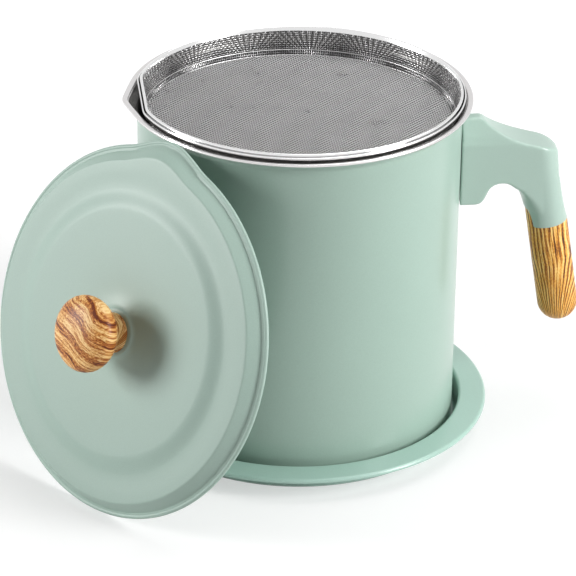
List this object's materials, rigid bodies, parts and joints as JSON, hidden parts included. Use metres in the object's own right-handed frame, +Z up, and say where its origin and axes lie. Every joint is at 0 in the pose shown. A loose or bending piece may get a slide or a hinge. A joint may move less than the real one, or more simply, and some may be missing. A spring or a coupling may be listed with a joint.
{
  "type": "bacon grease container",
  "caption": "Lidded round grease keeper with a pouring lip, a lift-out fine strainer, a side handle with a wood-look grip, a knobbed lid and a drip tray.",
  "frame": {"origin": "centre of the drip tray's underside, on the surface the container stands on, under the pot's axis", "axes": "+Z up along the pot's axis, +X towards the handle, the pouring lip at -X"},
  "size_m": [0.2391, 0.1971, 0.1451],
  "materials": {
    "mint_enamel": "soft-sheen mint green coating on pressed steel",
    "mint_moulding": "mint green moulded handle with a soft sheen",
    "wood_look": "golden brown wood grain under a satin coat",
    "polished_steel": "polished stainless steel ring",
    "steel_mesh": "fine stainless steel wire cloth",
    "plated_steel": "zinc plated steel fasteners"
  },
  "bodies": {
    "tray": {"tray": "mint_enamel"},
    "pot": {"pot_shell": "mint_enamel", "handle_bracket": "plated_steel", "handle_body": "mint_moulding", "handle_grip": "wood_look", "handle_screw": "plated_steel", "handle_lock_washer": "plated_steel"},
    "strainer": {"strainer_ring": "polished_steel", "strainer_mesh": "steel_mesh"},
    "lid": {"lid_shell": "mint_enamel", "lid_knob": "wood_look", "knob_insert": "plated_steel", "knob_screw": "plated_steel", "knob_washer": "plated_steel"}
  },
  "joints": [
    {"name": "pot_lift", "type": "slide", "parent": "tray", "child": "pot", "axis": [0, 0, 1], "range_m": [0, 0.06]},
    {"name": "strainer_lift", "type": "slide", "parent": "pot", "child": "strainer", "axis": [0, 0, 1], "range_m": [0, 0.06]},
    {"name": "lid_lift", "type": "slide", "parent": "tray", "child": "lid", "axis": [0, 0, 1], "range_m": [0, 0.2]}
  ]
}
